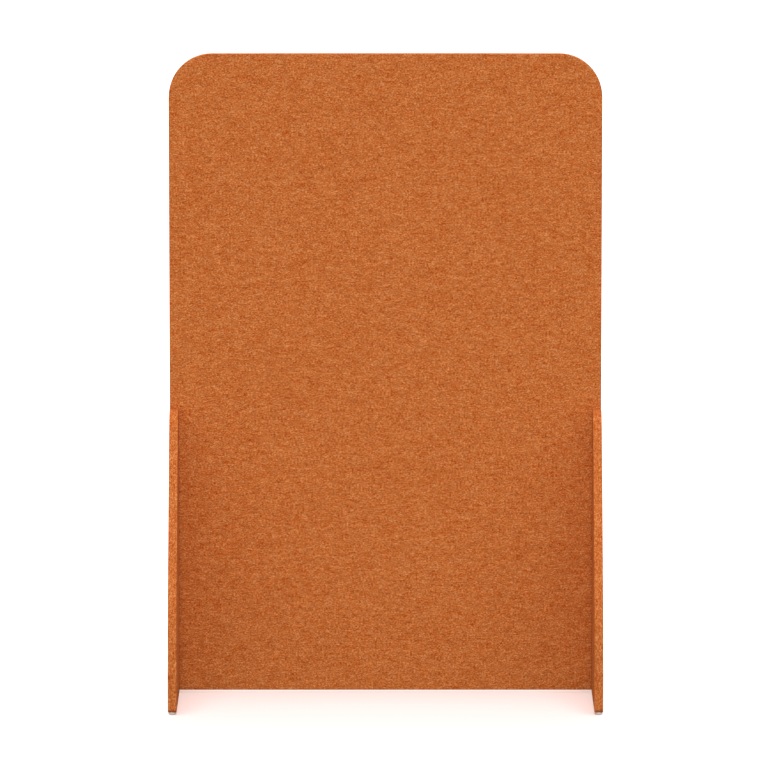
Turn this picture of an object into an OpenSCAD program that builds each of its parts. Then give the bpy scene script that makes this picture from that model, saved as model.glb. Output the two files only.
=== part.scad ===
// Freestanding acoustic divider screen of laminated felt board.
// An upright panel stands between and over two fins that run from front to back at its ends.
// Panel and fins are each two felt sheets, laminated. The panel's lower corners are notched, so
// that its shoulders sit on the fins. Bolts pass through each fin into steel blocks that are
// shut in between the panel's sheets, dowels keep the joint in line, and felt plugs close the
// holes over the bolt heads. Four glides are screwed to anchors in the fins' undersides.
// X runs to the right as seen from the front, Y to the back and Z up. The origin is on the
// floor under the middle of the screen.

/* [Screen] */
// Width over both fins
screen_w = 1200; // [700:10:1800]
// Height from the floor to the top edge
screen_h = 1796; // [1200:1:2200]
// Radius of the panel's two top corners
corner_r = 120; // [10:5:300]

/* [Felt board] */
// Thickness of one felt sheet, half of a laminated board
sheet_t = 12; // [10:0.5:20]

/* [Fins] */
// Height of a fin, from its underside to the shoulder that carries the panel
fin_h = 795; // [650:5:1000]
// Depth of a fin at its foot, from front to back
fin_depth = 672; // [500:1:900]
// Height at which the upright toe and the sloping edge would meet in a corner
fin_knee_h = 241; // [120:1:320]
// Radius that blends the toe into the sloping edge
fin_knee_r = 560; // [50:10:600]
// Length of the level shoulder in front of the panel's face, and behind its back
fin_shoulder = 20; // [5:5:60]
// Radius that rolls the sloping edge over into the shoulder
fin_top_r = 70; // [30:5:150]

/* [Joint bolts] */
// Bolts through each fin
bolt_count = 3; // [2:1:4]
// Distance from the fin's underside to the lowest bolt, and from the shoulder to the highest
bolt_end = 115; // [60:5:180]
// Bolt shank diameter
bolt_d = 6; // [5:1:8]
// Bolt length under the head
bolt_l = 60; // [50:1:70]
// Bolt head diameter
bolt_head_d = 17; // [12:0.5:20]
// Bolt head thickness
bolt_head_t = 3; // [2:0.5:4]
// Hexagon socket in the bolt head, across flats
bolt_key = 4; // [3:0.5:5]
// Depth of the hexagon socket
bolt_key_depth = 2.2; // [1:0.1:2.5]
// Diameter of the washer under each bolt head
washer_d = 26; // [22:1:34]
// Thickness of the washer
washer_t = 2; // [1:0.5:3]

/* [Anchor blocks] */
// Height of a steel block
block_h = 50; // [30:1:80]
// Width of a steel block, along the bolt
block_w = 20; // [12:1:24]
// Thickness of a steel block, front to back
block_t = 10; // [9:0.5:14]
// Felt left between the panel's edge and a block
block_inset = 20; // [15:1:25]

/* [Felt plugs] */
// Diameter of a felt plug
plug_d = 30; // [28:1:40]

/* [Dowels] */
// Dowel diameter
dowel_d = 10; // [6:1:12]
// Dowel length
dowel_l = 50; // [30:1:70]

/* [Glides] */
// Glide diameter
glide_d = 22; // [16:0.5:30]
// Glide height, which is also the gap under the panel
glide_h = 8; // [6:0.5:15]
// Distance from a fin's end to the middle of its glide
glide_inset = 13; // [12:1:60]
// Bevel round the glide's foot
glide_bevel = 1.5; // [0.5:0.5:2]
// Diameter of the recess for the screw head in the glide's foot
glide_recess_d = 11; // [10:0.5:14]
// Depth of that recess
glide_recess_depth = 4.5; // [3.5:0.5:5]

/* [Glide screws] */
// Screw diameter
screw_d = 4; // [3:0.5:5]
// Screw length under the head
screw_l = 30; // [20:1:38]
// Screw head diameter
screw_head_d = 9; // [7:0.5:9.5]
// Screw head thickness
screw_head_t = 2.8; // [2:0.1:3]
// Width of the cross cut in the screw head
screw_slot_w = 1; // [0.6:0.1:1.4]
// Depth of the cross cut
screw_slot_depth = 1.4; // [0.8:0.1:1.6]
// Diameter of the nylon anchor that the screw bites into
anchor_d = 12; // [9:0.5:14]
// Length of the nylon anchor
anchor_l = 40; // [36:1:60]

/* [Hidden] */

// Radial clearance of a bolt in the felt and in its washer
bolt_clear = 0.3;
// Radial clearance of a thread in its block or anchor
thread_clear = 0.05;
// Radial clearance of a dowel in its hole
dowel_clear = 0.1;
// Radial clearance of a felt plug and of a washer in their hole
plug_clear = 0.2;
// Clearance round a steel block or a nylon anchor in its pocket
pocket_clear = 0.2;
// Free space past the end of a bolt, a dowel or a screw
end_clear = 0.5;
// Overrun of a cut past the face that it opens
over = 1;

// Thickness of a laminated board
board_t = 2 * sheet_t;
// Height of the panel, and the width and height of the notch over each fin
panel_h = screen_h - glide_h;
notch_w = board_t;
notch_h = fin_h;
// Places across the right half: panel edge in the notch, plane between the fin's sheets, outer face
edge_x = screen_w / 2 - board_t;
joint_x = screen_w / 2 - sheet_t;
outer_x = screen_w / 2;
// Underside of the bolt heads, and the far end of the bolts
head_x = joint_x + washer_t;
tip_x = head_x - bolt_l;
// Middle of the steel blocks
block_x = edge_x - block_inset - block_w / 2;
// Plug thickness that brings the plug flush with the fin's outer face
plug_t = sheet_t - washer_t - bolt_head_t;
// Heights of the bolts, and of the dowels midway between them
bolt_pitch = (fin_h - 2 * bolt_end) / (bolt_count - 1);
bolt_zs = [for (i = [0 : bolt_count - 1]) glide_h + bolt_end + i * bolt_pitch];
dowel_zs = [for (i = [0 : bolt_count - 2]) bolt_zs[i] + bolt_pitch / 2];
// Dowels stop just short of the fin's outer sheet
dowel_x = joint_x - end_clear;
// Places of the glides along the depth
glide_y = fin_depth / 2 - glide_inset;

// Fin outline, right half, from the plane between the panel's sheets
half_depth = fin_depth / 2;
shoulder = board_t / 2 + fin_shoulder;
// The top arc starts at the end of the level shoulder, and the sloping edge is the tangent from
// the knee to that arc. Its lean is measured from the vertical.
top_centre = [shoulder, fin_h - fin_top_r];
knee_corner = [half_depth, fin_knee_h];
to_centre = top_centre - knee_corner;
lean = atan(-to_centre.x / to_centre.y) - asin(fin_top_r / norm(to_centre));
// The knee's arc ends at the foot at the lowest
knee_r = min(fin_knee_r, fin_knee_h / tan(lean / 2));
knee_centre = [half_depth - knee_r, fin_knee_h - knee_r * tan(lean / 2)];

// Depth of the sloping edge under the arcs that it meets, and the turn by which these run on
blend_sink = 0.01;
blend_turn = 3;

// Smoothness of large and small arcs
$fn = 96;
small_fn = 48;

function along(angle) = [cos(angle), sin(angle)];

// Colours: the felt after the photo, the rest after each material's usual finish
felt_colour = "#bf6a36";
plug_colour = "#b5622f";
steel_colour = "#b9bcc0";
beech_colour = "#d8b483";
glide_colour = "#d9d2cc";
nylon_colour = "#e8e6e0";

// The slice of a disc between an arc and its chord, seen from the arc's centre
module arc_slice(centre, r, from_angle, to_angle) {
    beyond = centre + 2 * r * along((from_angle + to_angle) / 2);
    intersection() {
        translate(centre) circle(r);
        polygon([centre + r * along(from_angle), beyond, centre + r * along(to_angle)]);
    }
}

// Panel outline, seen from the front, with the floor at zero
module panel_outline() {
    arc_centre = [screen_w / 2 - corner_r, screen_h - corner_r];
    difference() {
        union() {
            polygon([
                [-screen_w / 2, glide_h], [screen_w / 2, glide_h],
                [screen_w / 2, arc_centre.y], [arc_centre.x, screen_h],
                [-arc_centre.x, screen_h], [-screen_w / 2, arc_centre.y]
            ]);
            for (side = [0, 1]) mirror([side, 0]) arc_slice(arc_centre, corner_r, 0, 90);
        }
        for (side = [0, 1]) mirror([side, 0])
            translate([edge_x, glide_h - over]) square([notch_w + over, notch_h + over]);
    }
}

// Fin outline, seen from the side, with its underside at zero. The arcs run on a little under
// the sloping edge at both its ends, so that they cross it cleanly.
module fin_outline() {
    slope_ends = [for (arc = [[knee_centre, knee_r], [top_centre, fin_top_r]])
        arc[0] + (arc[1] - blend_sink) * along(lean)];
    front = concat([[half_depth, 0], [half_depth, knee_centre.y]], slope_ends, [[shoulder, fin_h]]);
    back = [for (i = [len(front) - 1 : -1 : 0]) [-front[i].x, front[i].y]];
    polygon(concat(front, back));
    for (end = [0, 1]) mirror([end, 0]) {
        arc_slice(knee_centre, knee_r, 0, lean + blend_turn);
        arc_slice(top_centre, fin_top_r, lean - blend_turn, 90);
    }
}

// Puts what is made for the right side on the side asked for
module on_side(side) {
    mirror([side == "left" ? 1 : 0, 0, 0]) children();
}

module at_bolts() {
    for (z = bolt_zs) translate([0, 0, z]) children();
}

module at_dowels() {
    for (z = dowel_zs) translate([0, 0, z]) children();
}

module at_glides_of_a_fin() {
    for (y = [-glide_y, glide_y]) translate([joint_x, y, 0]) children();
}

module at_all_glides() {
    for (side = ["left", "right"]) on_side(side) at_glides_of_a_fin() children();
}

// A round bar or hole along X, from one place across the screen to another
module rod_x(x0, x1, r) {
    translate([x0, 0, 0]) rotate([0, 90, 0]) cylinder(h = x1 - x0, r = r, $fn = small_fn);
}

module block_body(clear) {
    size = [block_w, block_t, block_h] + 2 * clear * [1, 1, 1];
    translate([block_x, 0, 0]) cube(size, center = true);
}

// What the joint takes out of the panel's right edge
module panel_joint_cuts() {
    at_bolts() {
        rod_x(tip_x - end_clear, edge_x + over, bolt_d / 2 + bolt_clear);
        block_body(pocket_clear);
    }
    at_dowels()
        rod_x(dowel_x - dowel_l - end_clear, edge_x + over, dowel_d / 2 + dowel_clear);
}

// One sheet of the panel, with its inner face on the plane between the sheets
module panel_sheet(front) {
    color(felt_colour) difference() {
        translate([0, front ? 0 : sheet_t, 0]) rotate([90, 0, 0])
            linear_extrude(sheet_t) panel_outline();
        for (side = ["left", "right"]) on_side(side) panel_joint_cuts();
    }
}

module fin_board(from_x) {
    translate([from_x, 0, glide_h]) rotate([90, 0, 90]) linear_extrude(sheet_t) fin_outline();
}

// Pockets between the fin's sheets for the anchors of its glides
module anchor_pockets() {
    at_glides_of_a_fin() translate([0, 0, glide_h - over])
        cylinder(h = anchor_l + end_clear + over, r = anchor_d / 2 + pocket_clear, $fn = small_fn);
}

module fin_outer_sheet(side) {
    color(felt_colour) on_side(side) difference() {
        fin_board(joint_x);
        at_bolts() rod_x(joint_x - over, outer_x + over, plug_d / 2 + plug_clear);
        anchor_pockets();
    }
}

module fin_inner_sheet(side) {
    color(felt_colour) on_side(side) difference() {
        fin_board(edge_x);
        at_bolts() rod_x(edge_x - over, joint_x + over, bolt_d / 2 + bolt_clear);
        at_dowels() rod_x(edge_x - over, joint_x + over, dowel_d / 2 + dowel_clear);
        anchor_pockets();
    }
}

module joint_bolts(side) {
    key_r = bolt_key / 2 / cos(30);
    color(steel_colour) on_side(side) at_bolts() difference() {
        union() {
            rod_x(tip_x, head_x, bolt_d / 2);
            rod_x(head_x, head_x + bolt_head_t, bolt_head_d / 2);
        }
        translate([head_x + bolt_head_t - bolt_key_depth, 0, 0]) rotate([0, 90, 0])
            cylinder(h = bolt_key_depth + over, r = key_r, $fn = 6);
    }
}

module bolt_washers(side) {
    color(steel_colour) on_side(side) at_bolts() difference() {
        rod_x(joint_x, head_x, washer_d / 2);
        rod_x(joint_x - over, head_x + over, bolt_d / 2 + bolt_clear);
    }
}

module anchor_blocks(side) {
    color(steel_colour) on_side(side) at_bolts() difference() {
        block_body(0);
        rod_x(block_x - block_w / 2 - over, block_x + block_w / 2 + over,
            bolt_d / 2 + thread_clear);
    }
}

module felt_plugs(side) {
    color(plug_colour) on_side(side) at_bolts() rod_x(outer_x - plug_t, outer_x, plug_d / 2);
}

module dowels(side) {
    color(beech_colour) on_side(side) at_dowels() rod_x(dowel_x - dowel_l, dowel_x, dowel_d / 2);
}

// One glide, standing on the floor: a bevelled pad with a recess for its screw's head
module glide() {
    foot_r = glide_d / 2 - glide_bevel;
    color(glide_colour) rotate_extrude() polygon([
        [glide_recess_d / 2, 0], [foot_r, 0],
        [glide_d / 2, glide_bevel], [glide_d / 2, glide_h],
        [screw_d / 2 + bolt_clear, glide_h], [screw_d / 2 + bolt_clear, glide_recess_depth],
        [glide_recess_d / 2, glide_recess_depth]
    ]);
}

module place_glide(side, end) {
    on_side(side) translate([joint_x, end * glide_y, 0]) glide();
}

module glide_anchors() {
    color(nylon_colour) at_all_glides() translate([0, 0, glide_h]) difference() {
        cylinder(h = anchor_l, r = anchor_d / 2, $fn = small_fn);
        translate([0, 0, -over]) cylinder(
            h = over + screw_l + glide_recess_depth - glide_h + end_clear,
            r = screw_d / 2 + thread_clear, $fn = small_fn);
    }
}

module glide_screws() {
    head_z = glide_recess_depth - screw_head_t;
    color(steel_colour) at_all_glides() difference() {
        union() {
            translate([0, 0, glide_recess_depth])
                cylinder(h = screw_l, r = screw_d / 2, $fn = small_fn);
            translate([0, 0, head_z])
                cylinder(h = screw_head_t, r = screw_head_d / 2, $fn = small_fn);
        }
        for (turn = [0, 90]) rotate(turn) translate([0, 0, head_z])
            cube([screw_head_d / 2, screw_slot_w, 2 * screw_slot_depth], center = true);
    }
}

module panel_front_sheet() panel_sheet(true);
module panel_back_sheet() panel_sheet(false);

panel_front_sheet();
panel_back_sheet();
fin_outer_sheet("left");  // left_fin_outer_sheet
fin_inner_sheet("left");  // left_fin_inner_sheet
fin_outer_sheet("right");  // right_fin_outer_sheet
fin_inner_sheet("right");  // right_fin_inner_sheet
joint_bolts("left");  // left_joint_bolts
joint_bolts("right");  // right_joint_bolts
bolt_washers("left");  // left_bolt_washers
bolt_washers("right");  // right_bolt_washers
anchor_blocks("left");  // left_anchor_blocks
anchor_blocks("right");  // right_anchor_blocks
felt_plugs("left");  // left_felt_plugs
felt_plugs("right");  // right_felt_plugs
dowels("left");  // left_dowels
dowels("right");  // right_dowels
place_glide("left", -1);  // front_left_glide
place_glide("right", -1);  // front_right_glide
place_glide("left", 1);  // rear_left_glide
place_glide("right", 1);  // rear_right_glide
glide_anchors();
glide_screws();
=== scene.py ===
import math

import bmesh
import bpy
from mathutils import Matrix, Vector


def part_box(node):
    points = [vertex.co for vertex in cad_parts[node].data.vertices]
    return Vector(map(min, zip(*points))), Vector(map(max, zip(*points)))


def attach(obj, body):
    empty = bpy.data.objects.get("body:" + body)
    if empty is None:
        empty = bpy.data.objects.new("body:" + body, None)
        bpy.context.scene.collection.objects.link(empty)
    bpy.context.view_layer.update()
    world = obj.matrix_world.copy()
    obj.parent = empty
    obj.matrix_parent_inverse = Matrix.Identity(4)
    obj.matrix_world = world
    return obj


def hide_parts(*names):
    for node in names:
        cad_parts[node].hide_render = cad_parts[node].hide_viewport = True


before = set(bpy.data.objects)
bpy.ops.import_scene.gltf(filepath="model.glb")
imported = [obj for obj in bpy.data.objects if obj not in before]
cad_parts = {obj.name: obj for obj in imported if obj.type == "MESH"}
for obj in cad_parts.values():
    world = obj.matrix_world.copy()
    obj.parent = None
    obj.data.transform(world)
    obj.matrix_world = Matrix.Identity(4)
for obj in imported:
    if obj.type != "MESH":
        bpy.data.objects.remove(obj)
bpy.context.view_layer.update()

# Freestanding acoustic divider screen: two-sheet felt boards bolted into a panel on two fins.
# Everything is in metres. X runs to the right, Y to the back, Z up, with the floor at zero.

MM = 0.001

SHEETS = {
    "panel": ["panel_front_sheet", "panel_back_sheet"],
    "left_fin": ["left_fin_outer_sheet", "left_fin_inner_sheet"],
    "right_fin": ["right_fin_outer_sheet", "right_fin_inner_sheet"],
}
SIDES = ["left", "right"]
CORNERS = ["front_left", "front_right", "rear_left", "rear_right"]
CUT_IN_FELT = ["joint_bolts", "anchor_blocks", "felt_plugs", "dowels"]

# Rounding of the felt's edges, which sag a little where the board is cut, handled and stood on:
# along a face, at the panel's foot and shoulders, in its notch, at a fin's toe, along the seam
# between two sheets, and round a plug hole
ARRIS_ROUND = 0.5 * MM
FOOT_ROUND = 2.0 * MM
SHOULDER_ROUND = 1.0 * MM
NOTCH_ROUND = 1.0 * MM
TOE_ROUND = 1.5 * MM
SEAM_ROUND = 0.35 * MM
HOLE_ROUND = 0.3 * MM
# Rounding of a steel block, and the flats that any rounding is made of
BLOCK_ROUND = 0.5 * MM
ROUND_STEPS = 4
# Faces that meet at less than the first angle are one flat face, and at more than the second a
# sharp edge. Points nearer than the gap are one, and edges within the margin belong to a pocket.
FLAT_ANGLE = math.radians(0.5)
SHARP_ANGLE = math.radians(30)
WELD_GAP = 0.001 * MM
POCKET_MARGIN = 1.5 * MM

# How turned parts are cut into flats, their sockets and flutes, and an anchor's barbs: the height
# of the first, from one to the next, up to a barb's edge, and its slope as a share of the pitch
TURNED_SIDES = 48
THREAD_SIDES = 24
CROSS_ARM_WIDTH = 0.44
FLUTES = 12
FLUTE_DEPTH = 0.08
ANCHOR_BARBS = 8
ANCHOR_FIRST_BARB = 3.2
ANCHOR_BARB_PITCH = 4.2
ANCHOR_BARB_RISE = 0.2
ANCHOR_BARB_SLOPE = 0.8
# Each part in a hole is turned about its axis by chance
TURN_SEED = 7

# Shift of the felt's pattern from one sheet to the next, and for the plugs
LOT_STEP = Vector((0.37, 0.53, 0.29))
PLUG_LOT = Vector((0.11, 0.17, 0.23))

# Sockets that share their name with others: the two colours of a mix and what it gives, and the
# upper end of a random value and what it gives
MIX_FIRST = 6
MIX_SECOND = 7
MIX_COLOUR = 2
RANDOM_MOST = 3
RANDOM_VALUE = 1


def rgb(code):
    """The linear colour of an sRGB hex code."""
    parts = [int(code[i:i + 2], 16) / 255 for i in (1, 3, 5)]
    return [c / 12.92 if c <= 0.04045 else ((c + 0.055) / 1.055) ** 2.4 for c in parts] + [1]


WHITE = rgb("#ffffff")


def add(tree, kind, links=None, **settings):
    """A new node of a kind, with its settings, and its inputs set or linked to other nodes' outputs."""
    node = tree.nodes.new(kind)
    for name, value in settings.items():
        setattr(node, name, value)
    for name, value in (links or {}).items():
        if isinstance(value, bpy.types.NodeSocket):
            tree.links.new(value, node.inputs[name])
        else:
            node.inputs[name].default_value = value
    return node


def empty_tree(block):
    """The tree of a new material or world, with nothing in it."""
    block.use_nodes = True
    block.node_tree.nodes.clear()
    return block.node_tree


def new_material(name):
    """A new material with its tree and its shader node."""
    material = bpy.data.materials.new(name)
    tree = empty_tree(material)
    shader = add(tree, "ShaderNodeBsdfPrincipled")
    add(tree, "ShaderNodeOutputMaterial", {"Surface": shader.outputs["BSDF"]})
    return material, tree, shader


# The middle of a noise's values, from which its share of the contrast counts up and down
MIDDLE = 0.5


def weighted_sum(tree, shares):
    """The sum of noise values, each less its middle and times its share."""
    total = 0.0
    for value, share in shares:
        centred = add(tree, "ShaderNodeMath", {0: value, 1: MIDDLE}, operation="SUBTRACT")
        total = add(tree, "ShaderNodeMath", {0: centred.outputs[0], 1: share, 2: total},
                    operation="MULTIPLY_ADD").outputs[0]
    return total


# Felt, in real sizes. Soft noises add up to how pale a spot is, from dark to pale fibre: blotches
# and flat streaks, each by its height and its share of the contrast.
BLOTCHES = [(2.9 * MM, 1.5), (4.2 * MM, 0.2), (22 * MM, 0.11)]
BLOTCH_STRETCH = 1.7
STREAKS = [(3.0 * MM, 0.4), (4.2 * MM, 0.35), (6 * MM, 0.42), (9 * MM, 0.32)]
STREAK_STRETCH = 4
# How far these wander up and down along the board, and the height and stretch of a bend
STREAK_WANDER = 9 * MM
WANDER_SIZE = 30 * MM
WANDER_STRETCH = 0.5
# Single fibres: the height of their curls, their thickness as a share of it, and their share of
# the contrast, which is below zero for dark ones. A real fibre is too fine to show, so they are
# drawn coarser: the short ones two or three times as thick, the long ones over ten times.
FIBRES = [
    (1.1 * MM, 0.06, 0.42),
    (1.3 * MM, 0.06, -0.42),
    (6.6 * MM, 0.08, 0.09),
    (7.6 * MM, 0.08, -0.09),
]
FIBRE_STRETCH = 3
# How strongly a patch of the board is heathered, at least and at most, the height of a patch, and
# the noise values where the least and the most are reached
FELT_CONTRAST = (0.58, 1.01)
PATCH_SIZE = 11 * MM
PATCH_ENDS = (0.25, 0.75)
# The two dyes, each by its dark, middle and pale fibre, the height of the areas where one of them
# prevails, and the noise values where it is there alone
GOLD_FIBRE = ["#a43b02", "#c5672c", "#e69458"]
ROSE_FIBRE = ["#9d3d09", "#be6932", "#df965e"]
DYE_SIZE = 7.5 * MM
DYE_STRETCH = 2.2
DYE_ENDS = (0.2, 0.8)
# Pale fibres lie highest and are a little smoother than the ground between them
FELT_RELIEF = 0.032 * MM
FELT_ROUGHNESS = (1.0, 0.88)
# Loose fibre ends leave hardly any gloss, and give a faint glow at grazing angles
FELT_GLOSS = 0.03
FUZZ_WEIGHT = 0.12
FUZZ_ROUGHNESS = 0.6
FUZZ_COLOUR = "#e69658"
# Painted shade along a fin's foot, where the felt meets the floor: the share of the colour that is
# left where it is darkest, and the heights up to which it is darkest and there at all
FOOT_PAINTED_SHADE = 0.42
PAINTED_SHADE_HEIGHTS = (8 * MM, 16.5 * MM)


def blotches(tree, place, size, stretch=1):
    """Soft noise with blotches of a given height, drawn out along the board's length."""
    scaled = add(tree, "ShaderNodeMapping", {"Vector": place, "Scale": (size * stretch, size, size)},
                 vector_type="TEXTURE")
    return add(tree, "ShaderNodeTexNoise",
               {"Vector": scaled.outputs["Vector"], "Scale": 1.0, "Detail": 0.0}).outputs["Fac"]


def fibre_lines(tree, place, size, width):
    """1 along thin curling lines and 0 beside them."""
    return add(tree, "ShaderNodeMath",
               {0: blotches(tree, place, size, FIBRE_STRETCH), 1: MIDDLE, 2: width / 2},
               operation="COMPARE").outputs[0]


def felt_material(name, grain_turn, foot_painted_shade=1.0):
    """Needled polyester felt board: heathered from fibres dyed in two shades and quite matt, which
    gives soft blotches and short wandering streaks along the board's grain."""
    material, tree, shader = new_material(name)
    place = add(tree, "ShaderNodeTexCoord")
    lot = add(tree, "ShaderNodeAttribute", attribute_name="lot")
    shifted = add(tree, "ShaderNodeVectorMath",
                  {0: place.outputs["Object"], 1: lot.outputs["Vector"]}, operation="ADD")
    turned = add(tree, "ShaderNodeMapping",
                 {"Vector": shifted.outputs[0], "Rotation": (0, grain_turn, 0)})
    board = turned.outputs["Vector"]
    wander = add(tree, "ShaderNodeMath", {0: blotches(tree, board, WANDER_SIZE, WANDER_STRETCH),
                                          1: STREAK_WANDER}, operation="MULTIPLY")
    bend = add(tree, "ShaderNodeCombineXYZ", {"Z": wander.outputs[0]})
    curled = add(tree, "ShaderNodeVectorMath", {0: board, 1: bend.outputs[0]}, operation="ADD")

    shares = [(blotches(tree, curled.outputs[0], size, BLOTCH_STRETCH), share)
              for size, share in BLOTCHES]
    shares += [(blotches(tree, curled.outputs[0], size, STREAK_STRETCH), share)
               for size, share in STREAKS]
    shares += [(fibre_lines(tree, board, size, width), share) for size, width, share in FIBRES]
    patches = add(tree, "ShaderNodeMapRange", {
        "Value": blotches(tree, board, PATCH_SIZE, BLOTCH_STRETCH),
        "From Min": PATCH_ENDS[0], "From Max": PATCH_ENDS[1],
        "To Min": FELT_CONTRAST[0], "To Max": FELT_CONTRAST[1]})
    heather = add(tree, "ShaderNodeMath", {0: weighted_sum(tree, shares),
                                           1: patches.outputs["Result"], 2: MIDDLE},
                  operation="MULTIPLY_ADD")

    dye = add(tree, "ShaderNodeMapRange", {
        "Value": blotches(tree, board, DYE_SIZE, DYE_STRETCH),
        "From Min": DYE_ENDS[0], "From Max": DYE_ENDS[1]})
    colours = add(tree, "ShaderNodeMix", {"Factor": dye.outputs["Result"]}, data_type="RGBA")
    for socket, codes in ((MIX_FIRST, GOLD_FIBRE), (MIX_SECOND, ROSE_FIBRE)):
        ramp = add(tree, "ShaderNodeValToRGB", {"Fac": heather.outputs[0]})
        stops = ramp.color_ramp.elements
        stops[0].color = rgb(codes[0])
        stops[1].color = rgb(codes[2])
        stops.new(MIDDLE).color = rgb(codes[1])
        tree.links.new(ramp.outputs["Color"], colours.inputs[socket])
    # Painted shade at the foot: below the upper of the heights the felt's colour darkens towards the
    # floor
    at = add(tree, "ShaderNodeSeparateXYZ", {"Vector": place.outputs["Object"]})
    colour_kept = add(tree, "ShaderNodeMapRange", {
        "Value": at.outputs["Z"], "From Min": PAINTED_SHADE_HEIGHTS[0], "From Max": PAINTED_SHADE_HEIGHTS[1],
        "To Min": foot_painted_shade, "To Max": 1.0}, interpolation_type="SMOOTHSTEP")
    foot_shaded = add(tree, "ShaderNodeVectorMath",
                 {0: colours.outputs[MIX_COLOUR], "Scale": colour_kept.outputs["Result"]},
                 operation="SCALE")
    tree.links.new(foot_shaded.outputs[0], shader.inputs["Base Color"])

    matt = add(tree, "ShaderNodeMapRange", {
        "Value": heather.outputs[0], "To Min": FELT_ROUGHNESS[0], "To Max": FELT_ROUGHNESS[1]})
    tree.links.new(matt.outputs["Result"], shader.inputs["Roughness"])
    relief = add(tree, "ShaderNodeBump",
                 {"Height": heather.outputs[0], "Strength": 1.0, "Distance": FELT_RELIEF})
    tree.links.new(relief.outputs["Normal"], shader.inputs["Normal"])
    shader.inputs["Specular IOR Level"].default_value = FELT_GLOSS
    shader.inputs["Sheen Weight"].default_value = FUZZ_WEIGHT
    shader.inputs["Sheen Roughness"].default_value = FUZZ_ROUGHNESS
    shader.inputs["Sheen Tint"].default_value = rgb(FUZZ_COLOUR)
    return material


# The noise values where a grain is wholly dark and wholly pale, and where a fleck starts and is full
GRAIN_ENDS = (0.3, 0.7)
GRAIN_DETAIL = 3.0
FLECK_ENDS = (0.6, 0.68)


def grained_material(name, pale, dark, grain, roughness, relief, metallic=0.0, flecks=None):
    """A plain finish with a fine grain of a given size in its colour, gloss and relief, and where
    it has them, flecks of a colour and a size."""
    material, tree, shader = new_material(name)
    place = add(tree, "ShaderNodeTexCoord")
    along = add(tree, "ShaderNodeMapping",
                {"Vector": place.outputs["Object"], "Scale": grain}, vector_type="TEXTURE")
    noise = add(tree, "ShaderNodeTexNoise",
                {"Vector": along.outputs["Vector"], "Scale": 1.0, "Detail": GRAIN_DETAIL})
    colours = add(tree, "ShaderNodeValToRGB", {"Fac": noise.outputs["Fac"]})
    for stop, position, code in zip(colours.color_ramp.elements, GRAIN_ENDS, (dark, pale)):
        stop.position = position
        stop.color = rgb(code)
    colour = colours.outputs["Color"]
    if flecks:
        fleck_colour, fleck_size = flecks
        spread = add(tree, "ShaderNodeMapping",
                     {"Vector": place.outputs["Object"], "Scale": fleck_size}, vector_type="TEXTURE")
        spots = add(tree, "ShaderNodeTexNoise",
                    {"Vector": spread.outputs["Vector"], "Scale": 1.0, "Detail": 0.0})
        shown = add(tree, "ShaderNodeMapRange", {
            "Value": spots.outputs["Fac"], "From Min": FLECK_ENDS[0], "From Max": FLECK_ENDS[1]})
        flecked = add(tree, "ShaderNodeMix", {
            0: shown.outputs["Result"], MIX_FIRST: colour, MIX_SECOND: rgb(fleck_colour)},
            data_type="RGBA")
        colour = flecked.outputs[MIX_COLOUR]
    tree.links.new(colour, shader.inputs["Base Color"])
    gloss = add(tree, "ShaderNodeMapRange", {
        "Value": noise.outputs["Fac"], "To Min": roughness[0], "To Max": roughness[1]})
    tree.links.new(gloss.outputs["Result"], shader.inputs["Roughness"])
    bump = add(tree, "ShaderNodeBump", {"Height": noise.outputs["Fac"], "Distance": relief})
    tree.links.new(bump.outputs["Normal"], shader.inputs["Normal"])
    shader.inputs["Metallic"].default_value = metallic
    return material


def merged(node):
    """A copy of a CAD node's mesh with its loose triangles joined and its flat faces made whole."""
    bm = bmesh.new()
    bm.from_mesh(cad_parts[node].data)
    bmesh.ops.remove_doubles(bm, verts=bm.verts, dist=WELD_GAP)
    bmesh.ops.dissolve_limit(bm, angle_limit=FLAT_ANGLE, verts=bm.verts, edges=bm.edges)
    return bm


def solid_boxes(node):
    """The lowest and highest corner of each separate solid of a CAD node, the lowest solid first."""
    bm = merged(node)
    left = set(bm.verts)
    boxes = []
    while left:
        found = [left.pop()]
        for vert in found:
            near = {e.other_vert(vert) for e in vert.link_edges} & left
            left -= near
            found += near
        corners = [v.co.copy() for v in found]
        boxes.append([Vector(pick(c[i] for c in corners) for i in range(3)) for pick in (min, max)])
    bm.free()
    return sorted(boxes, key=lambda box: tuple(box[0].zyx))


def inside(point, box, margin):
    """Whether a point lies in a box, or outside it by less than a margin."""
    return all(box[0][i] - margin < point[i] < box[1][i] + margin for i in range(3))


def new_object(name, data):
    """An object in the scene, at the origin."""
    thing = bpy.data.objects.new(name, data)
    bpy.context.scene.collection.objects.link(thing)
    return thing


def mesh_piece(name, bm):
    """An object at the origin that holds a bmesh."""
    mesh = bpy.data.meshes.new(name)
    bm.to_mesh(mesh)
    bm.free()
    return new_object(name, mesh)


def make_plain(piece):
    """Turns the modifiers' result into the piece's own mesh."""
    depsgraph = bpy.context.evaluated_depsgraph_get()
    mesh = bpy.data.meshes.new_from_object(piece.evaluated_get(depsgraph))
    piece.modifiers.clear()
    piece.data = mesh


def finish_piece(piece, node, material, lot=(0, 0, 0)):
    """Shades a piece's large faces flat and its roundings smooth, shifts its pattern by its lot,
    and puts it in the place of its CAD node."""
    piece.data.shade_smooth()
    normals = piece.modifiers.new("flat faces stay flat", "WEIGHTED_NORMAL")
    normals.keep_sharp = True
    make_plain(piece)
    attribute = piece.data.attributes.new("lot", "FLOAT_VECTOR", "POINT")
    attribute.data.foreach_set("vector", list(lot) * len(piece.data.vertices))
    piece.data.materials.clear()
    piece.data.materials.append(material)
    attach(piece, "root")
    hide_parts(node)


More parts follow.
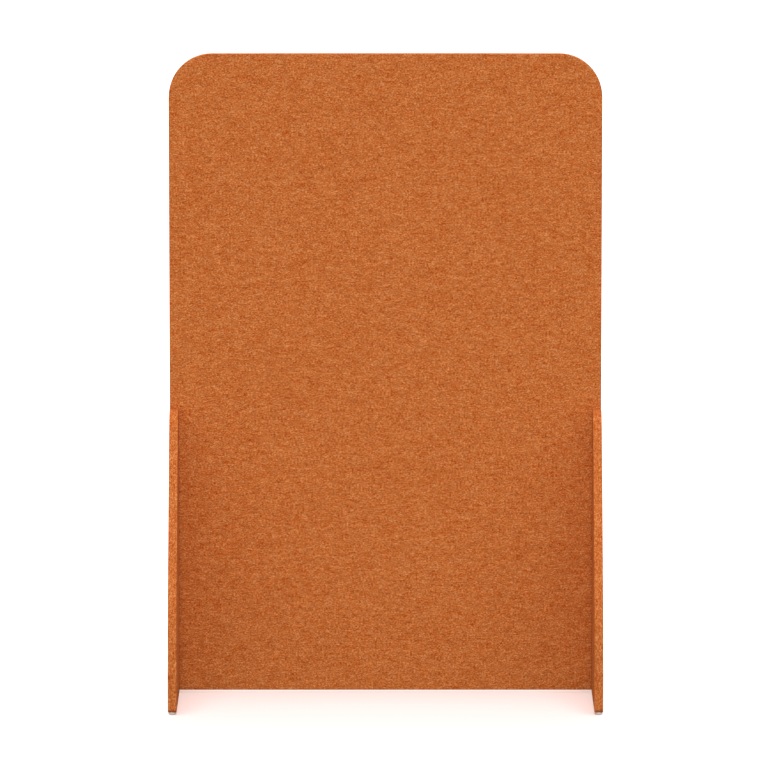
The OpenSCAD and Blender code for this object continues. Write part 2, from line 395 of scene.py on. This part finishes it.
def board_rounding(board, middle, ends):
    """How far a felt edge is rounded, by its place on its board."""
    if board != "panel":
        at_toe = middle.z < ends[0].z + WELD_GAP and abs(middle.y) > ends[1].y - WELD_GAP
        return TOE_ROUND if at_toe else ARRIS_ROUND
    if middle.z < ends[0].z + WELD_GAP:
        return FOOT_ROUND
    if abs(middle.z - FIN_TOP) < WELD_GAP:
        return SHOULDER_ROUND
    return NOTCH_ROUND if middle.z < FIN_TOP else ARRIS_ROUND


def rounded_mesh(name, bm, rounding_of):
    """A piece whose sharp edges are rounded, each by what a rule gives for it."""
    weight = bm.edges.layers.float.new("bevel_weight_edge")
    sharp = [e for e in bm.edges if e.calc_face_angle(0) > SHARP_ANGLE]
    roundings = [rounding_of(edge) for edge in sharp]
    widest = max(roundings)
    for edge, rounding in zip(sharp, roundings):
        edge[weight] = rounding / widest
        edge.smooth = rounding > 0
    piece = mesh_piece(name, bm)
    bevel = piece.modifiers.new("rounding", "BEVEL")
    bevel.width = widest
    bevel.segments = ROUND_STEPS
    bevel.limit_method = "WEIGHT"
    bevel.use_clamp_overlap = False
    return piece


def felt_sheet(board, node, mate, pockets, material, lot):
    """A felt sheet with its edges rounded as a cutter leaves them. Where it is glued to its mate
    the rounding is slight, so that the two meet in a hairline seam."""
    lo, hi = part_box(node)
    mate_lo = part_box(mate)[0]
    axis = min(range(3), key=lambda i: (hi - lo)[i])
    glued = hi[axis] if abs(hi[axis] - mate_lo[axis]) < WELD_GAP else lo[axis]

    def rounding_of(edge):
        middle = (edge.verts[0].co + edge.verts[1].co) / 2
        off_seam = [abs(v.co[axis] - glued) for v in edge.verts]
        if any(inside(middle, box, POCKET_MARGIN) for box in pockets):
            return 0 if any(off < (hi - lo)[axis] - WELD_GAP for off in off_seam) else HOLE_ROUND
        if max(off_seam) < WELD_GAP:
            return SEAM_ROUND
        return board_rounding(board, middle, (lo, hi))

    finish_piece(rounded_mesh(node + "_felt", merged(node), rounding_of), node, material, lot)


def turned_body(name, rings, closed=False):
    """A body round Z from rings of a radius and a height in millimetres and, where one isn't round,
    a form that gives the share of the radius at each angle. A ring of no radius is a pole."""
    bm = bmesh.new()
    rows = []
    for radius, height, *form in rings:
        angles = [2 * math.pi * i / TURNED_SIDES for i in range(TURNED_SIDES)] if radius else [0]
        reach = [radius * MM * (form[0](angle) if form else 1) for angle in angles]
        rows.append([bm.verts.new((r * math.cos(a), r * math.sin(a), height * MM))
                     for r, a in zip(reach, angles)])
    for below, above in zip(rows, rows[1:] + rows[:1] if closed else rows[1:]):
        for i in range(TURNED_SIDES):
            j = i + 1
            corners = [below[i % len(below)], below[j % len(below)],
                       above[j % len(above)], above[i % len(above)]]
            bm.faces.new(dict.fromkeys(corners))
    bmesh.ops.recalc_face_normals(bm, faces=bm.faces)
    for edge in bm.edges:
        edge.smooth = edge.calc_face_angle(0) < SHARP_ANGLE
    return mesh_piece(name, bm)


def key_hexagon(angle):
    """The hexagon socket of a bolt, by its half width across flats."""
    return 1 / math.cos((angle + math.pi / 6) % (math.pi / 3) - math.pi / 6)


def driver_cross(angle):
    """The cross recess of a screw, by the length of its arms."""
    off = abs((angle + math.pi / 4) % (math.pi / 2) - math.pi / 4)
    return min(1 / math.cos(off), CROSS_ARM_WIDTH / 2 / max(math.sin(off), WELD_GAP))


def glue_flutes(angle):
    """The shallow flutes that a dowel is pressed with, for the glue to rise in."""
    return 1 - FLUTE_DEPTH * max(0.0, math.cos(FLUTES * angle))


def shape_tree(name, inputs):
    """An empty tree that reshapes a geometry by named inputs, and what it is given."""
    tree = bpy.data.node_groups.new(name, "GeometryNodeTree")
    tree.interface.new_socket("Geometry", in_out="INPUT", socket_type="NodeSocketGeometry")
    for label, kind in inputs.items():
        tree.interface.new_socket(label, in_out="INPUT", socket_type="NodeSocket" + kind)
    tree.interface.new_socket("Geometry", in_out="OUTPUT", socket_type="NodeSocketGeometry")
    return tree, tree.nodes.new("NodeGroupInput").outputs


def end_tree(tree, geometry, finish):
    """Ends a tree with a geometry, made real and given its finish."""
    whole = add(tree, "GeometryNodeRealizeInstances", {"Geometry": geometry})
    finished = add(tree, "GeometryNodeSetMaterial",
                   {"Geometry": whole.outputs[0], "Material": finish})
    add(tree, "NodeGroupOutput", {"Geometry": finished.outputs[0]})


def reshape(piece, tree, values):
    """Puts a piece through a tree, whose inputs are set by their names."""
    step = piece.modifiers.new(tree.name, "NODES")
    step.node_group = tree
    for item in tree.interface.items_tree:
        if item.in_out == "INPUT" and item.name in values:
            step[item.identifier] = values[item.name]
    make_plain(piece)


def thread_tree():
    """A rolled thread: a ridge swept along a spiral round the body that comes in."""
    tree, given = shape_tree("rolled thread", {
        "Root Radius": "Float", "Ridge Height": "Float", "Pitch": "Float", "Turns": "Float",
        "Start": "Float", "Finish": "Material"})
    rise = add(tree, "ShaderNodeMath", {0: given["Pitch"], 1: given["Turns"]}, operation="MULTIPLY")
    spiral = add(tree, "GeometryNodeCurveSpiral", {
        "Resolution": THREAD_SIDES, "Rotations": given["Turns"], "Height": rise.outputs[0],
        "Start Radius": given["Root Radius"], "End Radius": given["Root Radius"]})
    upright = add(tree, "GeometryNodeSetCurveNormal", {"Curve": spiral.outputs[0]}, mode="Z_UP")
    ridge = add(tree, "GeometryNodeCurvePrimitiveCircle",
                {"Resolution": 4, "Radius": given["Ridge Height"]})
    swept = add(tree, "GeometryNodeCurveToMesh", {
        "Curve": upright.outputs[0], "Profile Curve": ridge.outputs[0], "Fill Caps": True})
    lift = add(tree, "ShaderNodeCombineXYZ", {"Z": given["Start"]})
    placed = add(tree, "GeometryNodeTransform",
                 {"Geometry": swept.outputs[0], "Translation": lift.outputs[0]})
    joined = add(tree, "GeometryNodeJoinGeometry", {"Geometry": placed.outputs[0]})
    tree.links.new(given["Geometry"], joined.inputs["Geometry"])
    end_tree(tree, joined.outputs[0], given["Finish"])
    return tree


def row_tree():
    """One part in each of its holes: aimed along the hole and turned about it at random."""
    tree, given = shape_tree("part in each hole", {
        "Part": "Object", "Aim": "Vector", "Most Turn": "Float", "Seed": "Int",
        "Finish": "Material"})
    part = add(tree, "GeometryNodeObjectInfo", {"Object": given["Part"]})
    aim = add(tree, "FunctionNodeEulerToRotation", {"Euler": given["Aim"]})
    placed = add(tree, "GeometryNodeInstanceOnPoints", {
        "Points": given["Geometry"], "Instance": part.outputs["Geometry"],
        "Rotation": aim.outputs[0]})
    turn = add(tree, "FunctionNodeRandomValue",
               {RANDOM_MOST: given["Most Turn"], "Seed": given["Seed"]}, data_type="FLOAT")
    about = add(tree, "ShaderNodeCombineXYZ", {"Z": turn.outputs[RANDOM_VALUE]})
    spun = add(tree, "FunctionNodeEulerToRotation", {"Euler": about.outputs[0]})
    turned = add(tree, "GeometryNodeRotateInstances", {
        "Instances": placed.outputs[0], "Rotation": spun.outputs[0], "Local Space": True})
    end_tree(tree, turned.outputs[0], given["Finish"])
    return tree


def starts(node, aim):
    """Where each solid of a CAD node starts: at its lower end, or at its end that faces out."""
    points = []
    for lo, hi in solid_boxes(node):
        point = (lo + hi) / 2
        if aim:
            point.x = max(lo.x, hi.x, key=abs)
        else:
            point.z = lo.z
        points.append(point)
    return points


def place_parts(node, part, aim, material, slot, lot=(0, 0, 0)):
    """One part for each solid of a CAD node, aimed up or across by a turn about Y."""
    bm = bmesh.new()
    for point in starts(node, aim):
        bm.verts.new(point)
    piece = mesh_piece(f"{node}_{slot}", bm)
    reshape(piece, part_in_each_hole, {"Part": part, "Aim": (0, aim, 0), "Most Turn": math.tau,
                                       "Seed": TURN_SEED, "Finish": material})
    finish_piece(piece, node, material, lot)


# The panel's sheets lie with their grain level. The fins' grain stands upright, and their feet get
# painted shade that darkens the felt towards the floor.
felt_level = felt_material("needled felt board, grain level", 0.0)
felt_upright = felt_material("needled felt board, grain upright", math.radians(90), FOOT_PAINTED_SHADE)
# Steel under a bright zinc plating: a cool silver that mirrors softly, clouded by the plating bath
zinc = grained_material("bright zinc plated steel", "#c9ccd0", "#a9adb2",
                        (0.6 * MM,) * 3, (0.32, 0.5), 0.01 * MM, metallic=1.0)
# Bare beech from the lathe: pale tan and nearly matt, with long grain along the dowel and the
# short dark flecks of the wood's rays
beech = grained_material("turned beech", "#dcbb8d", "#c29a66",
                         (12 * MM, 0.7 * MM, 0.7 * MM), (0.55, 0.75), 0.03 * MM,
                         flecks=("#a8784a", (1.8 * MM, 0.35 * MM, 0.35 * MM)))
# Polyamide from a mould with a fine texture: off-white with a warm tint and a soft satin gloss
glide_plastic = grained_material("moulded polyamide, satin", "#e6cec5", "#dcc2b9",
                                 (0.8 * MM,) * 3, (0.38, 0.55), 0.02 * MM)
# Nylon without a dye: the milky cream of the raw granulate, a little cloudy, with the same gloss
nylon = grained_material("moulded natural nylon", "#e8e6dd", "#dcd9cf",
                         (0.8 * MM,) * 3, (0.4, 0.55), 0.02 * MM)

FIN_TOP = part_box("left_fin_inner_sheet")[1].z
pockets = [box for side in SIDES for kind in CUT_IN_FELT for box in solid_boxes(f"{side}_{kind}")]
pockets += solid_boxes("glide_anchors")
for count, (board, pair) in enumerate(SHEETS.items()):
    felt = felt_level if board == "panel" else felt_upright
    for i, node in enumerate(pair):
        felt_sheet(board, node, pair[1 - i], pockets, felt, LOT_STEP * (2 * count + i))

# Parts that are turned or moulded, by rings of radius and height in millimetres. Each starts with
# its end that faces out or down, and keeps within what the CAD model gives it.
BOLT = [(0, 2.5), (1.9, 2.2, key_hexagon), (2, 0.3, key_hexagon), (2.2, 0, key_hexagon),
        (7.4, 0), (8.1, 0.25), (8.5, 0.8), (8.5, 2.6), (8.2, 3), (3, 3), (3, 27), (2.6, 27.8),
        (2.6, 61.4), (2, 63), (0, 63)]
WASHER = [(3.3, 0.3), (3.6, 0), (12.4, 0), (13, 0.5), (13, 1.9), (12.9, 2), (3.4, 2), (3.3, 1.9)]
PLUG = [(0, 0), (9, 0.05), (13.7, 0.2), (14.6, 0.5), (15, 1.1), (15, 6.4), (14.5, 7), (0, 7)]
DOWEL = [(0, 0), (3.8, 0), (5, 1.8, glue_flutes), (5, 48.2, glue_flutes), (3.8, 50), (0, 50)]
GLIDE = [(5.5, 0.3), (5.8, 0), (7.6, 0), (8.6, 0.1), (9.5, 0.35), (10.3, 0.9), (10.8, 1.7),
         (11, 2.6), (11, 5.4), (10.7, 5.8), (9.6, 6.1), (9.6, 8), (2.5, 8), (2.3, 7.8),
         (2.3, 4.5), (5.3, 4.5), (5.5, 4.3)]
SCREW = [(0, 1.5), (1.2, 1.35, driver_cross), (2.25, 0, driver_cross), (3.4, 0), (4.2, 0.35),
         (4.5, 1), (4.5, 2.5), (4.3, 2.8), (1.5, 2.8), (1.5, 31), (0, 32.8)]
ANCHOR = [(0, 27), (2.1, 27), (2.1, 0.4), (2.4, 0), (5.6, 0), (6, 0.4), (6, 1.6), (5.2, 2.4)]
for barb in range(ANCHOR_BARBS):
    foot = ANCHOR_FIRST_BARB + ANCHOR_BARB_PITCH * barb
    ANCHOR += [(5.2, foot), (6, foot + ANCHOR_BARB_RISE),
               (5.2, foot + ANCHOR_BARB_SLOPE * ANCHOR_BARB_PITCH)]
ANCHOR += [(5.2, 38.2), (4.2, 40), (0, 40)]
BOLT_THREAD = {"Root Radius": 2.6 * MM, "Ridge Height": 0.4 * MM, "Pitch": 1 * MM,
               "Turns": 33.5, "Start": 28 * MM, "Finish": zinc}
SCREW_THREAD = {"Root Radius": 1.5 * MM, "Ridge Height": 0.5 * MM, "Pitch": 1.6 * MM,
                "Turns": 16.0, "Start": 4.5 * MM, "Finish": zinc}

screw_thread = thread_tree()
part_in_each_hole = row_tree()
bolt = turned_body("bolt", BOLT)
reshape(bolt, screw_thread, BOLT_THREAD)
screw = turned_body("screw", SCREW)
reshape(screw, screw_thread, SCREW_THREAD)
washer = turned_body("washer", WASHER, closed=True)
plug = turned_body("plug", PLUG)
dowel = turned_body("dowel", DOWEL)
glide = turned_body("glide", GLIDE, closed=True)
anchor = turned_body("anchor", ANCHOR)

for side in SIDES:
    inward = math.radians(90 if side == "left" else -90)
    place_parts(f"{side}_joint_bolts", bolt, inward, zinc, "zinc_steel")
    place_parts(f"{side}_bolt_washers", washer, inward, zinc, "zinc_steel")
    place_parts(f"{side}_felt_plugs", plug, inward, felt_upright, "felt", PLUG_LOT)
    place_parts(f"{side}_dowels", dowel, inward, beech, "beech")
    blocks = f"{side}_anchor_blocks"
    rounded = rounded_mesh(blocks + "_steel", merged(blocks), lambda edge: BLOCK_ROUND)
    finish_piece(rounded, blocks, zinc)
for corner in CORNERS:
    place_parts(f"{corner}_glide", glide, 0, glide_plastic, "glide_plastic")
place_parts("glide_anchors", anchor, 0, nylon, "nylon")
place_parts("glide_screws", screw, 0, zinc, "zinc_steel")
for part in (bolt, screw, washer, plug, dowel, glide, anchor):
    bpy.data.objects.remove(part)

# Camera: a long lens well in front, a little above, looking down by its pitch at the panel's face
CAMERA_PITCH = math.radians(8.758)
CAMERA_DISTANCE = 21.859
CAMERA_TARGET = Vector((-1.39 * MM, -12 * MM, 866.56 * MM))
CAMERA_REACH = 200
PIXELS_HIGH = 773
FOCAL_PIXELS = 7860.5
SENSOR = 36

camera = new_object("camera", bpy.data.cameras.new("camera"))
look = Vector((0, math.cos(CAMERA_PITCH), -math.sin(CAMERA_PITCH)))
camera.location = CAMERA_TARGET - CAMERA_DISTANCE * look
camera.rotation_euler = (math.pi / 2 - CAMERA_PITCH, 0, 0)
camera.data.sensor_width = SENSOR
camera.data.lens = FOCAL_PIXELS / PIXELS_HIGH * SENSOR
camera.data.clip_end = CAMERA_REACH
bpy.context.scene.camera = camera

# Light: a pale sky and two soft keys, from above the front and from above the back
SKY_STRENGTH = 1.13
KEY_STRENGTH = 0.3
KEY_ELEVATION = math.radians(34)
KEY_AZIMUTHS = {"front_key": 0.0, "back_key": math.radians(180)}
KEY_SPREAD = math.radians(8)


def seen_directly(tree):
    """1 where a camera, mirror or glass ray meets the surface, 0 for the light that it gives."""
    path = add(tree, "ShaderNodeLightPath")
    either = add(tree, "ShaderNodeMath", {0: path.outputs["Is Camera Ray"],
                                          1: path.outputs["Is Glossy Ray"]}, operation="MAXIMUM")
    return add(tree, "ShaderNodeMath", {0: either.outputs[0],
                                        1: path.outputs["Is Transmission Ray"]},
               operation="MAXIMUM").outputs[0]


def far_lamp(name, strength, spread, elevation, azimuth=0.0):
    """A lamp far away. Its strength is the light that a surface square to it gets, as a share of
    what a white sky gives."""
    lamp = new_object(name, bpy.data.lights.new(name, "SUN"))
    lamp.data.energy = strength * math.pi
    lamp.data.angle = spread
    lamp.rotation_euler = (math.radians(90) - elevation, 0, azimuth)
    return lamp


world = bpy.data.worlds.new("studio")
bpy.context.scene.world = world
tree = empty_tree(world)
light = add(tree, "ShaderNodeBackground", {"Color": WHITE, "Strength": SKY_STRENGTH})
white = add(tree, "ShaderNodeBackground", {"Color": WHITE, "Strength": 1.0})
mix = add(tree, "ShaderNodeMixShader",
          {0: seen_directly(tree), 1: light.outputs[0], 2: white.outputs[0]})
add(tree, "ShaderNodeOutputWorld", {"Surface": mix.outputs[0]})

for name, azimuth in KEY_AZIMUTHS.items():
    far_lamp(name, KEY_STRENGTH, KEY_SPREAD, KEY_ELEVATION, azimuth)

# Floor. The eye sees a grey that the lamps light and the screen shades, and over it a rosy glow,
# which together are white in the open and pale pink in the shade. The light that the floor sends
# back up comes from a darker grey, so that it doesn't flood the felt from below.
FLOOR_HALF = 40
FLOOR_DROP = 0.1 * MM
FLOOR_SHADED = "#8c8285"
FLOOR_GLOW = "#c6a99b"
FLOOR_BOUNCE = "#505050"
# White that the eye sees added to the floor, where its shade would be darker than it should be:
# under the panel in full to the first distance from its middle and not past the second, and beside,
# before and behind the screen in full from the second distance on and not within the first
UNDER_PANEL_X = (400 * MM, 680 * MM)
UNDER_PANEL_Y = (12 * MM, 30 * MM)
UNDER_PANEL_BACK = 9 * MM
UNDER_PANEL_LIFT = 0.25
SIDES_X = (590 * MM, 600 * MM)
SIDES_LIFT = 0.35
AHEAD_Y = (350 * MM, 600 * MM)
AHEAD_LIFT = 0.055

# A wide soft lamp overhead, which shines on the floor alone and draws the screen's soft shade
# there. The felt gets from it only what the floor sends back up.
OVERHEAD_STRENGTH = 1.7
OVERHEAD_ELEVATION = math.radians(86)
OVERHEAD_SPREAD = math.radians(26)

bm = bmesh.new()
bmesh.ops.create_grid(bm, x_segments=1, y_segments=1, size=FLOOR_HALF,
                      matrix=Matrix.Translation((0, 0, -FLOOR_DROP)))
floor = mesh_piece("floor", bm)
material = bpy.data.materials.new("white studio floor")
tree = empty_tree(material)
shaded = add(tree, "ShaderNodeBsdfDiffuse", {"Color": rgb(FLOOR_SHADED)})
place = add(tree, "ShaderNodeTexCoord")
at = add(tree, "ShaderNodeSeparateXYZ", {"Vector": place.outputs["Object"]})
across = add(tree, "ShaderNodeMath", {0: at.outputs["X"]}, operation="ABSOLUTE")
behind = add(tree, "ShaderNodeMath", {0: at.outputs["Y"], 1: UNDER_PANEL_BACK},
             operation="SUBTRACT")
deep = add(tree, "ShaderNodeMath", {0: behind.outputs[0]}, operation="ABSOLUTE")
near = []
for off, (full, none) in ((across, UNDER_PANEL_X), (deep, UNDER_PANEL_Y)):
    near.append(add(tree, "ShaderNodeMapRange", {
        "Value": off.outputs[0], "From Min": full, "From Max": none, "To Min": 1.0, "To Max": 0.0},
        interpolation_type="SMOOTHSTEP").outputs["Result"])
under = add(tree, "ShaderNodeMath", {0: near[0], 1: near[1]}, operation="MULTIPLY")
beside = add(tree, "ShaderNodeMapRange", {
    "Value": across.outputs[0], "From Min": SIDES_X[0], "From Max": SIDES_X[1],
    "To Min": 0.0, "To Max": SIDES_LIFT})
ahead = add(tree, "ShaderNodeMapRange", {
    "Value": deep.outputs[0], "From Min": AHEAD_Y[0], "From Max": AHEAD_Y[1],
    "To Min": 0.0, "To Max": AHEAD_LIFT})
around = add(tree, "ShaderNodeMath",
             {0: beside.outputs["Result"], 1: ahead.outputs["Result"]}, operation="ADD")
strength = add(tree, "ShaderNodeMath", {0: under.outputs[0], 1: UNDER_PANEL_LIFT,
                                        2: around.outputs[0]}, operation="MULTIPLY_ADD")
lift = add(tree, "ShaderNodeEmission", {"Color": WHITE, "Strength": strength.outputs[0]})
glow = add(tree, "ShaderNodeEmission", {"Color": rgb(FLOOR_GLOW), "Strength": 1.0})
lit = add(tree, "ShaderNodeAddShader", {0: shaded.outputs[0], 1: glow.outputs[0]})
shown = add(tree, "ShaderNodeAddShader", {0: lit.outputs[0], 1: lift.outputs[0]})
bounced = add(tree, "ShaderNodeBsdfDiffuse", {"Color": rgb(FLOOR_BOUNCE)})
mix = add(tree, "ShaderNodeMixShader",
          {0: seen_directly(tree), 1: bounced.outputs[0], 2: shown.outputs[0]})
add(tree, "ShaderNodeOutputMaterial", {"Surface": mix.outputs[0]})
floor.data.materials.append(material)

overhead = far_lamp("overhead", OVERHEAD_STRENGTH, OVERHEAD_SPREAD, OVERHEAD_ELEVATION)
overhead.light_linking.receiver_collection = bpy.data.collections.new("overhead lights")
overhead.light_linking.receiver_collection.objects.link(floor)

bpy.context.scene.view_settings.view_transform = "Standard"
